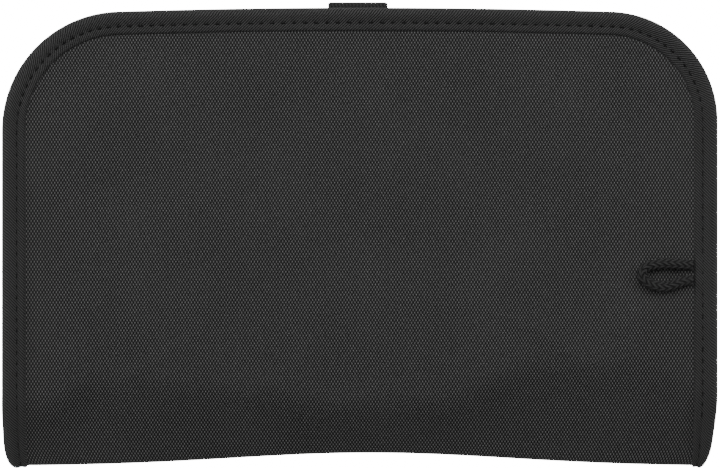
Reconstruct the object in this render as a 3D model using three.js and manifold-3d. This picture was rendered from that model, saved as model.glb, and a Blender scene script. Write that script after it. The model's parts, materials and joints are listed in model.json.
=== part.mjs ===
// Passport holder wallet: two padded covers joined by a soft two-strip spine, bound in folded tape,
// with pockets inside, a zipped pouch, a hook-and-loop strap over the opening edge and a cord loop.
// Lying closed, plain back cover up: +X to its right, +Y towards the opening edge, +Z up.
// Millimetres. The origin is at the middle of the underside of the whole wallet.
import * as THREE from 'three';
import { mergeVertices } from 'three/addons/utils/BufferGeometryUtils.js';
import Module from 'manifold-3d';

const wasm = await Module();
wasm.setup();

// ---- Driving dimensions -------------------------------------------------------------------
const width = 228; // over the side bindings
const coverLength = 125; // from the crease to the opening edge
const cornerRadius = 38; // the covers' corners at the opening edge
const edgeBow = 1.2; // how far the opening edge bows out in its middle
const spineDepth = 21; // how far the spine strips reach from the crease to the fold

const coverFabric = 0.7; // woven outer fabric
const foamThickness = 2.5;
const liningFabric = 0.4;
const plyFabric = 0.4; // one pocket ply
const tapeThickness = 0.8; // binding tape
const bindingWidth = 7.6; // binding tape seen on each face
const layerGap = 0.1; // between layers that lie on each other
const seamGap = 0.3; // between pieces that move or are sewn edge to edge
const cutPast = 1; // how far a cutting solid reaches past the piece it cuts

const strapWidth = 19;
const strapThickness = 1.3;
const strapCentreX = -0.6;
const strapClearance = 0.7; // from the opening edge to the strap
const strapTail = 47.5; // under the front cover
const strapSewn = 16; // sewn length on the back cover
const touchThickness = 0.8; // hook patch and loop patch, each
const touchMesh = 0.3; // between hook and loop when pressed together
const hookLength = 32;
const hookWidth = 16;
const loopLength = 42;
const loopWidth = 19;
const hookFromEnd = 2; // from the strap's end to the hook patch
const loopPastEnd = 3; // how far the loop patch reaches past the strap's end

const pouchGap = 0.7; // from the lining to the pouch's plies
const zipBelowEdge = 22; // opening edge to the zip's middle
const zipLength = 172;
const zipSlit = 1.2; // between the two rows of coil
const coilEnd = 4; // from the tape's end to the coil's
const stopLength = 2.5;
const stopFromEnd = 1.2; // from the tape's end to the stop
const coilWidth = 1.3; // one row
const coilThickness = 1.2;
const tapeWidth = 9.5; // one zip tape
const zipTapeThickness = 0.4;
const sliderLength = 9;
const sliderWidth = 7.2;
const sliderPlate = 0.5;
const sliderRoom = 2; // from the slider to the pouch's plies
const wedgeFrom = -1; // the wedge reaches from here to near the slider's front end
const wedgeMargin = 0.5;
const bridgeHole = 1.3; // clear height under the slider's bridge
const bridgeReach = 3.4; // from the slider's middle to the bridge's ends
const bridgeThickness = 0.65;
const bridgeWidth = 1.4;
const pullLength = 14;
const pullWidth = 5.2;
const pullThickness = 0.8;
const eyeLength = 3.8;
const eyeMargin = 1.2; // beside the pull's eye
const windowSize = [96, 60]; // clear window for a card
const windowCentreX = 50;
const filmThickness = 0.3;
const windowMargin = 5; // from the pouch's lower edge to the window, and the hem's width

const ticketHeight = 90;
const ticketGap = 0.4; // from the lining to the ticket pocket's ply
const passportSize = [128, 80]; // clear width and height of the passport pocket
const passportRoom = 5.6;
const contentsGap = 2.1; // from the passport pocket to the card window's hem when closed
const passportCentreX = 33;
const cardWidth = 60;
const cardCentreX = -71;
const cardHeights = [78, 64, 50];
const cardPitch = 1.2;
const penBore = 8.4;
const penWall = 0.8;
const penLoopLength = 25;
const penLoopX = 0;
const penMargin = 2.4; // from the pen loop to the pockets' lower edges

const cordDiameter = 3.4;
const cordRoute = [
  [105.9, -9.8], [103.9, -9.8], [101.3, -9.7], [97.1, -9.6], [93.3, -9.9], [90.7, -10.9],
  [89.8, -12.6], [90.4, -14.4], [92.6, -16.0], [95.5, -16.8], [98.3, -16.7], [101.3, -15.6],
  [103.9, -14.8], [105.9, -14.7],
];

// ---- Levels worked out from them ----------------------------------------------------------
const side = width / 2;
const padThickness = coverFabric + foamThickness + liningFabric + 2 * layerGap;
const plyDepth = padThickness + pouchGap;
const plyTop = plyDepth + plyFabric;
const hemTop = plyTop + filmThickness + plyFabric + 2 * layerGap;
const ticketDepth = padThickness + ticketGap;
const passportDepth = ticketDepth + 2 * plyFabric + layerGap + passportRoom;
const closedThickness = hemTop + contentsGap + passportDepth; // between the covers' outer faces
const frontFace = strapThickness + 2 * touchThickness + 2 * layerGap + touchMesh;
const backFace = frontFace + closedThickness;
const midZ = (frontFace + backFace) / 2;
const bindingFrom = -layerGap - tapeThickness; // depths count inwards from a cover's outer face
const bindingTo = padThickness + layerGap + tapeThickness;
const slope = Math.atan2(closedThickness / 2, spineDepth);
const stripLength = Math.hypot(closedThickness / 2, spineDepth);
const foldEnd = seamGap / 2 / Math.sin(slope); // strips stop this far short of the fold
const stripDrop = (stripLength - foldEnd) * Math.cos(slope) - bindingFrom * Math.sin(slope);
const overall = coverLength + stripDrop + strapClearance + strapThickness;
const openY = overall / 2 - strapClearance - strapThickness;
const creaseY = openY - coverLength;
const coverEnd = creaseY + seamGap / 2;
const innerMargin = bindingWidth + seamGap;
const spineLining = coverFabric + layerGap;
const spinePad = spineLining + liningFabric;
const penRadius = penBore / 2 + penWall;
const penReach = (spinePad + penRadius + layerGap) / Math.sin(slope); // the fold to its middle
const penY = creaseY - spineDepth + penReach;
const pocketLow = penY + penRadius + penMargin;
const zipY = openY - zipBelowEdge;

const wallet = new THREE.Group();

const finishes = {
  cover: [0x343434, 0.85], foam: [0x6b6b6b, 0.95], lining: [0x3c3c3f, 0.8], tape: [0x303030, 0.8],
  webbing: [0x353535, 0.85], loops: [0x2c2c2c, 1], coil: [0x1c1c1c, 0.5], metal: [0x4a4a4c, 0.35],
  film: [0xd8dde0, 0.15], cord: [0x262626, 0.8], elastic: [0x2a2a2a, 0.8],
};

/** Adds a named piece, in the finish of that name, to the wallet. */
function add(name, geometry, finish) {
  const [color, roughness] = finishes[finish];
  const metalness = finish === 'metal' ? 0.8 : 0;
  geometry.computeVertexNormals();
  const material = new THREE.MeshStandardMaterial({ color, roughness, metalness });
  const mesh = new THREE.Mesh(geometry, material);
  mesh.name = name;
  wallet.add(mesh);
}

// ---- Shapes -------------------------------------------------------------------------------
/** A closed geometry as a solid for joining and cutting. */
function solid(geometry) {
  const bare = geometry.clone();
  bare.deleteAttribute('normal');
  bare.deleteAttribute('uv');
  const merged = mergeVertices(bare, 1e-5);
  const mesh = new wasm.Mesh({
    numProp: 3,
    vertProperties: new Float32Array(merged.attributes.position.array),
    triVerts: new Uint32Array(merged.index.array),
  });
  return new wasm.Manifold(mesh);
}

/** A solid back as a geometry. */
function skin(body) {
  const { vertProperties, triVerts } = body.getMesh();
  const geometry = new THREE.BufferGeometry();
  geometry.setAttribute('position', new THREE.BufferAttribute(vertProperties, 3));
  geometry.setIndex(new THREE.BufferAttribute(triVerts, 1));
  return geometry;
}

/** A box between two corners. */
function box(low, high) {
  const size = high.map((h, i) => h - low[i]);
  const middle = high.map((h, i) => (h + low[i]) / 2);
  return new THREE.BoxGeometry(...size).translate(...middle);
}

/** A flat outline made `thickness` thick from height z up. */
function plate(shape, z, thickness) {
  const settings = { depth: thickness, bevelEnabled: false, curveSegments: 10 };
  return new THREE.ExtrudeGeometry(shape, settings).translate(0, 0, z);
}

/** A profile of [y, z] points carried along X from x0 to x1. */
function alongX(points, x0, x1, hole) {
  const shape = new THREE.Shape(points.map(([y, z]) => new THREE.Vector2(y, z)));
  if (hole) shape.holes.push(new THREE.Path(hole.map(([y, z]) => new THREE.Vector2(y, z))));
  const geometry = new THREE.ExtrudeGeometry(shape, { depth: x1 - x0, bevelEnabled: false });
  const turn = new THREE.Matrix4().makeBasis(
    new THREE.Vector3(0, 1, 0), new THREE.Vector3(0, 0, 1), new THREE.Vector3(1, 0, 0));
  return geometry.applyMatrix4(turn).translate(x0, 0, 0);
}

/** The cover's outline drawn in by `inset`: square at `low`, round corners and a bowed top. */
function coverOutline(inset, low = coverEnd) {
  const radius = cornerRadius - inset;
  const edge = side - inset;
  const shoulder = openY - edgeBow - cornerRadius;
  const shape = new THREE.Shape();
  shape.moveTo(-edge, low);
  shape.lineTo(edge, low);
  shape.lineTo(edge, shoulder);
  shape.absarc(edge - radius, shoulder, radius, 0, Math.PI / 2);
  shape.quadraticCurveTo(0, shoulder + radius + 2 * edgeBow, radius - edge, shoulder + radius);
  shape.absarc(radius - edge, shoulder, radius, Math.PI / 2, Math.PI);
  return shape;
}

/** Height of the lower face of a layer at a depth inside the front or the back cover. */
const frontLevel = (depth) => frontFace + depth;
const backLevel = (depth, thickness) => backFace - depth - thickness;

/** A layer with the cover's outline, kept between `low` and `high`. */
function layer(level, depth, thickness, inset, low = coverEnd, high = openY) {
  const z = level(depth, thickness);
  const whole = solid(plate(coverOutline(inset), z, thickness));
  const kept = box([-side, low, z - cutPast], [side, high, z + thickness + cutPast]);
  return skin(whole.intersect(solid(kept)));
}

/** Binding tape folded round a cover's edge: a thick rim with the pad's slot cut out of it. */
function coverBinding(level) {
  const thickness = bindingTo - bindingFrom;
  const slot = bindingTo - tapeThickness + layerGap;
  const rim = solid(plate(coverOutline(0), level(bindingFrom, thickness), thickness));
  const window = plate(coverOutline(bindingWidth, coverEnd - cutPast), 0, 2 * backFace);
  const room = plate(coverOutline(tapeThickness, coverEnd - cutPast), level(-layerGap, slot), slot);
  return skin(rim.subtract(solid(window)).subtract(solid(room)));
}

/** The point s along a spine strip from its crease and d deep; `up` mirrors it to the upper strip. */
function stripPoint(s, d, up) {
  const y = creaseY - s * Math.cos(slope) + d * Math.sin(slope);
  const z = frontFace + s * Math.sin(slope) + d * Math.cos(slope);
  return [y, up ? 2 * midZ - z : z];
}

/** Section of a spine strip's layer between two depths, mitred at the crease and at the fold. */
function stripSection(from, to, up) {
  const start = (d) => seamGap + Math.max(d, 0) * Math.tan(slope);
  const end = (d) => stripLength - foldEnd - Math.max(d, 0) / Math.tan(slope);
  const depths = from < 0 ? [from, 0, to] : [from, to];
  const falling = depths.map((d) => stripPoint(end(d), d, up));
  const rising = depths.map((d) => stripPoint(start(d), d, up)).reverse();
  return [...falling, ...rising];
}

// ---- Covers: fabric, foam, lining and binding ---------------------------------------------
const padInset = tapeThickness + layerGap;
const foamDepth = coverFabric + layerGap;
const liningDepth = foamDepth + foamThickness + layerGap;
for (const [name, level] of [['front', frontLevel], ['back', backLevel]]) {
  add(`${name}_cover`, layer(level, 0, coverFabric, padInset), 'cover');
  add(`${name}_foam`, layer(level, foamDepth, foamThickness, padInset), 'foam');
  add(`${name}_lining`, layer(level, liningDepth, liningFabric, padInset), 'lining');
  add(`${name}_binding`, coverBinding(level), 'tape');
}

// ---- Spine: two strips that meet at the fold ----------------------------------------------
for (const [name, up] of [['lower', false], ['upper', true]]) {
  const edge = side - padInset;
  add(`spine_cover_${name}`, alongX(stripSection(0, coverFabric, up), -edge, edge), 'cover');
  add(`spine_lining_${name}`, alongX(stripSection(spineLining, spinePad, up), -edge, edge), 'lining');
  const rim = stripSection(bindingFrom, spinePad + layerGap + tapeThickness, up);
  const [slotFrom, slotTo] = [-stripLength, 2 * stripLength];
  const [slotTop, slotFloor] = [-layerGap, spinePad + layerGap];
  const slot = [[slotFrom, slotTop], [slotTo, slotTop], [slotTo, slotFloor], [slotFrom, slotFloor]]
    .map(([s, d]) => stripPoint(s, d, up));
  const inside = side - bindingWidth;
  const edges = [['left', -side, -inside, -side + tapeThickness, -inside + cutPast],
    ['right', inside, side, inside - cutPast, side - tapeThickness]];
  for (const [which, x0, x1, slotLeft, slotRight] of edges) {
    const tape = solid(alongX(rim, x0, x1)).subtract(solid(alongX(slot, slotLeft, slotRight)));
    add(`spine_binding_${which}_${name}`, skin(tape), 'tape');
  }
}

// ---- Pen loop on the lower strip's lining -------------------------------------------------
const ring = (radius) => Array.from({ length: 24 }, (_, i) => {
  const turn = (i / 24) * 2 * Math.PI;
  return [penY + radius * Math.cos(turn), midZ + radius * Math.sin(turn)];
});
const penEnds = [penLoopX - penLoopLength / 2, penLoopX + penLoopLength / 2];
add('pen_loop', alongX(ring(penRadius), ...penEnds, ring(penBore / 2)), 'elastic');

// ---- Front cover, inside: zipped pouch and card window -------------------------------------
const tapeDepth = plyTop + layerGap;
const coilEdge = zipSlit / 2 + coilWidth;
const plyEdge = sliderWidth / 2 + sliderRoom;
const lowerPly = layer(frontLevel, plyDepth, plyFabric, innerMargin, pocketLow, zipY - plyEdge);
const upperPly = layer(frontLevel, plyDepth, plyFabric, innerMargin, zipY + plyEdge);
add('zip_pouch_panel', lowerPly, 'lining');
add('zip_pouch_header', upperPly, 'lining');
const coilHalf = zipLength / 2 - coilEnd;
const coilZ = frontLevel(tapeDepth + zipTapeThickness / 2) - coilThickness / 2;
for (const [name, way] of [['lower', -1], ['upper', 1]]) {
  const strip = (near, far, z, thickness, half) => {
    const [y0, y1] = [zipY + way * near, zipY + way * far].sort((a, b) => a - b);
    return box([-half, y0, z], [half, y1, z + thickness]);
  };
  const tape = strip(coilEdge + layerGap, coilEdge + tapeWidth, frontLevel(tapeDepth),
    zipTapeThickness, zipLength / 2);
  add(`zip_tape_${name}`, tape, 'lining');
  add(`zip_coil_${name}`, strip(zipSlit / 2, coilEdge, coilZ, coilThickness, coilHalf), 'coil');
}
for (const [name, way] of [['left', -1], ['right', 1]]) {
  const outer = zipLength / 2 - stopFromEnd;
  const [x0, x1] = [outer - stopLength, outer].map((x) => way * x).sort((a, b) => a - b);
  const low = [x0, zipY - coilEdge, coilZ];
  add(`zip_stop_${name}`, box(low, [x1, zipY + coilEdge, coilZ + coilThickness]), 'metal');
}

// Slider: two plates on a wedge between the coils, and a bridge that carries the pull.
const sliderX = sliderLength / 2 - coilHalf;
const wedgeHalf = zipSlit / 2 - seamGap;
const plateTop = coilZ + coilThickness + layerGap + sliderPlate;
const plateLow = coilZ - layerGap - sliderPlate;
const bridgeTop = plateTop + bridgeHole + bridgeThickness;
const postFoot = plateTop - sliderPlate / 2; // the posts start inside the top plate
const bridgeHalf = bridgeWidth / 2;
const postInner = bridgeReach - bridgeThickness;
const sliderPart = (x0, x1, half, z0, z1) => solid(
  box([sliderX + x0, zipY - half, z0], [sliderX + x1, zipY + half, z1]));
const halfSlider = sliderLength / 2;
const slider = sliderPart(-halfSlider, halfSlider, sliderWidth / 2, plateLow, plateLow + sliderPlate)
  .add(sliderPart(-halfSlider, halfSlider, sliderWidth / 2, plateTop - sliderPlate, plateTop))
  .add(sliderPart(wedgeFrom, halfSlider - wedgeMargin, wedgeHalf, plateLow, plateTop))
  .add(sliderPart(-bridgeReach, -postInner, bridgeHalf, postFoot, bridgeTop))
  .add(sliderPart(postInner, bridgeReach, bridgeHalf, postFoot, bridgeTop))
  .add(sliderPart(-bridgeReach, bridgeReach, bridgeHalf, bridgeTop - bridgeThickness, bridgeTop));
add('zip_slider', skin(slider), 'metal');

// Pull: a tab with an eye; the eye's bar lies under the bridge.
const pullZ = plateTop + bridgeHole / 2;
const pullHalf = pullThickness / 2;
const tab = solid(box([sliderX + pullHalf - pullLength, zipY - pullWidth / 2, pullZ - pullHalf],
  [sliderX + pullHalf, zipY + pullWidth / 2, pullZ + pullHalf]));
const eyeHalf = pullWidth / 2 - eyeMargin;
const eye = solid(box([sliderX - pullHalf - eyeLength, zipY - eyeHalf, pullZ - pullThickness],
  [sliderX - pullHalf, zipY + eyeHalf, pullZ + pullThickness]));
add('zip_pull', skin(tab.subtract(eye)), 'metal');

// Card window: clear film sewn on the pouch, with a hem along its open edge.
const windowLow = pocketLow + windowMargin;
const windowX = [windowCentreX - windowSize[0] / 2, windowCentreX + windowSize[0] / 2];
const windowHigh = windowLow + windowSize[1];
const filmZ = frontLevel(plyTop + layerGap);
add('card_window_film',
  box([windowX[0], windowLow, filmZ], [windowX[1], windowHigh, filmZ + filmThickness]), 'film');
const hemZ = filmZ + filmThickness + layerGap;
add('card_window_hem',
  box([windowX[0], windowHigh - windowMargin, hemZ], [windowX[1], windowHigh, hemZ + plyFabric]), 'tape');

// ---- Back cover, inside: ticket, card and passport pockets --------------------------------
const ticketHigh = pocketLow + ticketHeight;
const ticket = layer(backLevel, ticketDepth, plyFabric, innerMargin, pocketLow, ticketHigh);
add('ticket_pocket', ticket, 'lining');
cardHeights.forEach((height, i) => {
  const z = backLevel(ticketDepth + plyFabric + layerGap + i * cardPitch, plyFabric);
  const half = cardWidth / 2;
  add(`card_slot_${i + 1}`, box([cardCentreX - half, pocketLow, z],
    [cardCentreX + half, pocketLow + height, z + plyFabric]), 'lining');
});
const passportTop = backFace - ticketDepth - plyFabric - layerGap;
const passportHalf = passportSize[0] / 2;
const passportLow = passportTop - passportRoom;
const wallX = passportHalf + plyFabric;
const pouch = solid(box([passportCentreX - wallX, pocketLow, passportLow - plyFabric],
  [passportCentreX + wallX, pocketLow + plyFabric + passportSize[1], passportTop]));
const passportSpace = solid(box([passportCentreX - passportHalf, pocketLow + plyFabric, passportLow],
  [passportCentreX + passportHalf, openY, backFace]));
add('passport_pocket', skin(pouch.subtract(passportSpace)), 'lining');

// ---- Closure strap: sewn end, riser round the opening edge, tail with the hook patch -------
const strapX = [strapCentreX - strapWidth / 2, strapCentreX + strapWidth / 2];
const strapTop = backFace - bindingTo - layerGap;
const strapFar = openY + strapClearance + strapThickness;
const strapNear = openY + strapClearance;
const sewnEnd = openY - strapSewn;
add('strap_sewn_end', box([strapX[0], sewnEnd, strapTop - strapThickness],
  [strapX[1], openY + layerGap, strapTop]), 'webbing');
add('strap_riser', box([strapX[0], strapNear, 0], [strapX[1], strapFar, strapTop]), 'webbing');
const tailEnd = strapNear - seamGap - strapTail;
add('strap_tail', box([strapX[0], tailEnd, 0],
  [strapX[1], strapNear - seamGap, strapThickness]), 'webbing');
const patch = (name, patchWidth, low, length, z) => {
  const x = [strapCentreX - patchWidth / 2, strapCentreX + patchWidth / 2];
  add(name, box([x[0], low, z], [x[1], low + length, z + touchThickness]), 'loops');
};
patch('hook_patch', hookWidth, tailEnd + hookFromEnd, hookLength, strapThickness + layerGap);
patch('loop_patch', loopWidth, tailEnd - loopPastEnd, loopLength, frontFace - layerGap - touchThickness);

// ---- Cord loop on the back cover -----------------------------------------------------------
const cordZ = backFace + layerGap + cordDiameter / 2;
const cordLine = new THREE.CatmullRomCurve3(cordRoute.map(([x, y]) => new THREE.Vector3(x, y, cordZ)));
const cordSection = new THREE.Shape();
cordSection.absarc(0, 0, cordDiameter / 2, 0, 2 * Math.PI);
add('cord_loop', new THREE.ExtrudeGeometry(cordSection,
  { steps: 34, extrudePath: cordLine, curveSegments: 4, bevelEnabled: false }), 'cord');

export default wallet;
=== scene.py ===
# A passport holder wallet, lying closed with its plain back up: two padded covers in woven fabric,
# bound in folded tape, with pockets inside, a zipped pouch, a closing strap and a cord loop. Metres.
import json
import math
import bpy
import numpy as np
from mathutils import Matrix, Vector

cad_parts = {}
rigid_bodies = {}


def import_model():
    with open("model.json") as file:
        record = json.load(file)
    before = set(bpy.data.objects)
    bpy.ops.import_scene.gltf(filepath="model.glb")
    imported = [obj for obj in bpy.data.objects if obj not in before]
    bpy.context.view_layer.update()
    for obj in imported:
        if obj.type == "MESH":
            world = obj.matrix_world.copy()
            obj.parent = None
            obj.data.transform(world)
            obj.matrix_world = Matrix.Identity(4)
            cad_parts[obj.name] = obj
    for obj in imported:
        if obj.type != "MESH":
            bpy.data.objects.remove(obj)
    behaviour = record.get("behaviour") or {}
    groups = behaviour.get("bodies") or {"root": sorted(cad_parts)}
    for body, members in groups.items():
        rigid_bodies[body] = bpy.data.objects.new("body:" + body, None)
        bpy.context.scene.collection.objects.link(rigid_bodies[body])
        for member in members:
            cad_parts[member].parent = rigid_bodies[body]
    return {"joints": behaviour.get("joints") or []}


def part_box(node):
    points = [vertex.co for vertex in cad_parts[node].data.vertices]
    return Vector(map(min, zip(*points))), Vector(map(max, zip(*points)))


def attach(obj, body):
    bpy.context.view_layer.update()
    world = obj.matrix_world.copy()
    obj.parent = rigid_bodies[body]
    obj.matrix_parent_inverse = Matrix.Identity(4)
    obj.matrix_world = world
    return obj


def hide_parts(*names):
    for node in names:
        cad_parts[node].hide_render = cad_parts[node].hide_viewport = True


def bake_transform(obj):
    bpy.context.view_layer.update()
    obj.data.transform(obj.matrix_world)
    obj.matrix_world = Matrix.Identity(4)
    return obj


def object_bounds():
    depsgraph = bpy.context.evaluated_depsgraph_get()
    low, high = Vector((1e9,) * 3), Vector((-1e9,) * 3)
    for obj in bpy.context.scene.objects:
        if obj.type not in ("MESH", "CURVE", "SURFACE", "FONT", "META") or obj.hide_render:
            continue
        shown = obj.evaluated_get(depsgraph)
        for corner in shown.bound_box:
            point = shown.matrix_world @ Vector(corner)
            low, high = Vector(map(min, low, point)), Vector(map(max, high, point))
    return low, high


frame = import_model()
cad_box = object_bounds()

# ---- Camera --------------------------------------------------------------------------------
# Looks straight down on the plain back from a distance, with the opening edge at the top.
focal_length, sensor_width = 200, 36
seen_width = 0.229
plain_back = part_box("back_cover")[1].z
camera = bpy.data.objects.new("camera", bpy.data.cameras.new("camera"))
camera.data.lens, camera.data.sensor_width = focal_length, sensor_width
aim_x, aim_y = 0.00008, -0.00008
camera.location = (aim_x, aim_y, plain_back + seen_width * focal_length / sensor_width)
bpy.context.scene.collection.objects.link(camera)
bpy.context.scene.camera = camera

# ---- Cord loop -----------------------------------------------------------------------------
# A short length of round braided cord, bent to a loop, with both ends sewn in under the binding.
cord_thickness, cord_length = 0.0034, 0.036
braid_pitch, braid_columns, braid_depth = 0.0021, 8, 0.28
root_flat, root_drop, root_length = 0.55, 0.0007, 0.004
cord_steps, ring_points, cord_easing = 380, 96, 16
cord_line = [
    (0.1059, -0.0098), (0.1039, -0.0098), (0.1013, -0.0097), (0.0971, -0.0096), (0.0933, -0.0099),
    (0.0907, -0.0109), (0.0898, -0.0126), (0.0904, -0.0144), (0.0926, -0.0160), (0.0955, -0.0168),
    (0.0983, -0.0167), (0.1013, -0.0156), (0.1039, -0.0148), (0.1059, -0.0147),
]


def smooth(t):
    """Rises from 0 to 1 as t goes from 0 to 1, level at both ends: three t squared less two t cubed."""
    t = np.clip(t, 0, 1)
    return t * t * (3 - 2 * t)


def along(points, count):
    """`count` points evenly spaced along a smooth line (Catmull-Rom) through the given points."""
    p = np.array(points, float)
    p = np.vstack([2 * p[0] - p[1], p, 2 * p[-1] - p[-2]])
    t = np.linspace(0, 1, 12, endpoint=False)[:, None, None]
    a, b, c, d = p[:-3], p[1:-2], p[2:-1], p[3:]
    bend = (2 * a - 5 * b + 4 * c - d) * t ** 2 + (3 * b - a - 3 * c + d) * t ** 3
    line = (b + (c - a) * t / 2 + bend / 2).swapaxes(0, 1).reshape(-1, p.shape[1])
    return evenly(np.vstack([line, p[-2]]), count)


def evenly(line, count):
    """The line's points moved along it to `count` equal steps; columns after the third go with them."""
    steps = np.linalg.norm(np.diff(line[:, :3], axis=0), axis=1)
    reach = np.concatenate([[0], np.cumsum(steps)])
    even = np.linspace(0, reach[-1], count)
    return np.stack([np.interp(even, reach, column) for column in line.T], 1)


def mesh_piece(name, corners, faces, uv=None):
    """A new object from corners (n, 3) and faces (m, 3 or 4), with a place on the cloth per face corner."""
    mesh = bpy.data.meshes.new(name)
    mesh.from_pydata(corners.reshape(-1, 3), [], faces)
    if uv is not None:
        mesh.uv_layers.new(name="cloth").data.foreach_set("uv", uv.astype(np.float32).ravel())
    mesh.polygons.foreach_set("use_smooth", np.ones(len(mesh.polygons), bool))
    piece = bpy.data.objects.new(name, mesh)
    bpy.context.scene.collection.objects.link(piece)
    return piece


def crisp(piece, group):
    """Marks sharp the edges whose two corners have the same group number; 0 is no group."""
    ends = np.empty(2 * len(piece.data.edges), int)
    piece.data.edges.foreach_get("vertices", ends)
    first, second = group[ends[::2]], group[ends[1::2]]
    piece.data.edges.foreach_set("use_edge_sharp", (first > 0) & (first == second))


def grid_faces(rows, columns, ring=False):
    """Corner numbers of the quads of a grid; with `ring` the last column joins the first."""
    r, c = np.meshgrid(np.arange(rows - 1), np.arange(columns - (not ring)), indexing="ij")
    n = (c + 1) % columns
    return np.stack([r * columns + c, r * columns + n, (r + 1) * columns + n, (r + 1) * columns + c],
                    -1).reshape(-1, 4)


def tube(name, rings, uv):
    """Rings of points (rows, columns, 3) joined to a closed tube, with a fan over each end."""
    rows, columns = rings.shape[:2]
    walls = grid_faces(rows, columns, ring=True)
    ends = rings[[0, -1]].mean(1)
    first, last = rows * columns, rows * columns + 1
    turn = np.arange(columns)
    after = (turn + 1) % columns
    start = np.stack([np.full(columns, first), after, turn], 1)
    finish = np.stack([np.full(columns, last), turn + (rows - 1) * columns,
                       after + (rows - 1) * columns], 1)
    wall_uv = uv.reshape(-1, 2)[grid_faces(rows, columns + 1)]
    fan = np.repeat(uv[[0, -1], 0], columns, 0)[:, None].repeat(3, 1)
    faces = [*walls.tolist(), *start.tolist(), *finish.tolist()]
    corners = np.vstack([rings.reshape(-1, 3), ends])
    piece = mesh_piece(name, corners, faces, np.vstack([wall_uv.reshape(-1, 2), fan.reshape(-1, 2)]))
    group = np.zeros(len(corners), int)
    group[:columns], group[first - columns:first] = 1, 2
    crisp(piece, group)
    return piece


def joined(*sockets_and_numbers, tree, operation="MULTIPLY"):
    """A Math node on sockets and numbers; gives its output."""
    node = tree.nodes.new("ShaderNodeMath")
    node.operation = operation
    for slot, value in zip(node.inputs, sockets_and_numbers):
        if isinstance(value, bpy.types.NodeSocket):
            tree.links.new(value, slot)
        else:
            slot.default_value = value
    return node.outputs[0]


def effect(name, inputs, outputs):
    """A new shader node group with those named inputs (and their values) and outputs."""
    tree = bpy.data.node_groups.new(name, "ShaderNodeTree")
    for label, value in inputs.items():
        kind = "NodeSocketVector" if value is None else "NodeSocketFloat"
        socket = tree.interface.new_socket(label, in_out="INPUT", socket_type=kind)
        if value is not None:
            socket.default_value = value
    for label in outputs:
        tree.interface.new_socket(label, in_out="OUTPUT", socket_type="NodeSocketFloat")
    return tree, tree.nodes.new("NodeGroupInput").outputs, tree.nodes.new("NodeGroupOutput").inputs


# Uneven: how yarn, dye and handling vary. Slow is broad and soft, Fine is at the size of a yarn.
uneven, given, result = effect("uneven", {"Place": None, "Broad size": 0.03, "Fine size": 0.0004},
                               ["Broad", "Fine"])
for label, size in (("Broad", "Broad size"), ("Fine", "Fine size")):
    noise = uneven.nodes.new("ShaderNodeTexNoise")
    noise.inputs["Detail"].default_value = 3
    scale = joined(1.0, given[size], tree=uneven, operation="DIVIDE")
    uneven.links.new(given["Place"], noise.inputs["Vector"])
    uneven.links.new(scale, noise.inputs["Scale"])
    uneven.links.new(noise.outputs[0], result[label])

# Plain weave: crowns where one yarn passes over the other, in staggered rows. Crown is half plus half
# of the product of two cosines, one along each pitch.
weave, given, result = effect("weave", {"Place": None, "Across": 0.0005, "Along": 0.0008,
                                        "Sharpness": 1.0}, ["Crown"])
apart = weave.nodes.new("ShaderNodeSeparateXYZ")
weave.links.new(given["Place"], apart.inputs[0])
waves = []
for axis, pitch in (("X", "Across"), ("Y", "Along")):
    turns = joined(joined(apart.outputs[axis], math.pi, tree=weave), given[pitch], tree=weave,
                   operation="DIVIDE")
    waves.append(joined(turns, tree=weave, operation="COSINE"))
both = joined(joined(*waves, tree=weave), 0.5, tree=weave)
crown = joined(both, 0.5, tree=weave, operation="ADD")
weave.links.new(joined(crown, given["Sharpness"], tree=weave, operation="POWER"), result["Crown"])

# Ribs: yarns or twill lines side by side. Rib is half plus half of a sine of slanted distance.
ribs, given, result = effect("ribs", {"Place": None, "Pitch": 0.0006, "Slant": 0.0}, ["Rib"])
apart = ribs.nodes.new("ShaderNodeSeparateXYZ")
ribs.links.new(given["Place"], apart.inputs[0])
slanted = joined(joined(apart.outputs["Y"], given["Slant"], tree=ribs), apart.outputs["X"], tree=ribs,
                 operation="ADD")
turns = joined(joined(slanted, 2 * math.pi, tree=ribs), given["Pitch"], tree=ribs, operation="DIVIDE")
wave = joined(joined(turns, tree=ribs, operation="SINE"), 0.5, tree=ribs)
ribs.links.new(joined(wave, 0.5, tree=ribs, operation="ADD"), result["Rib"])


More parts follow.
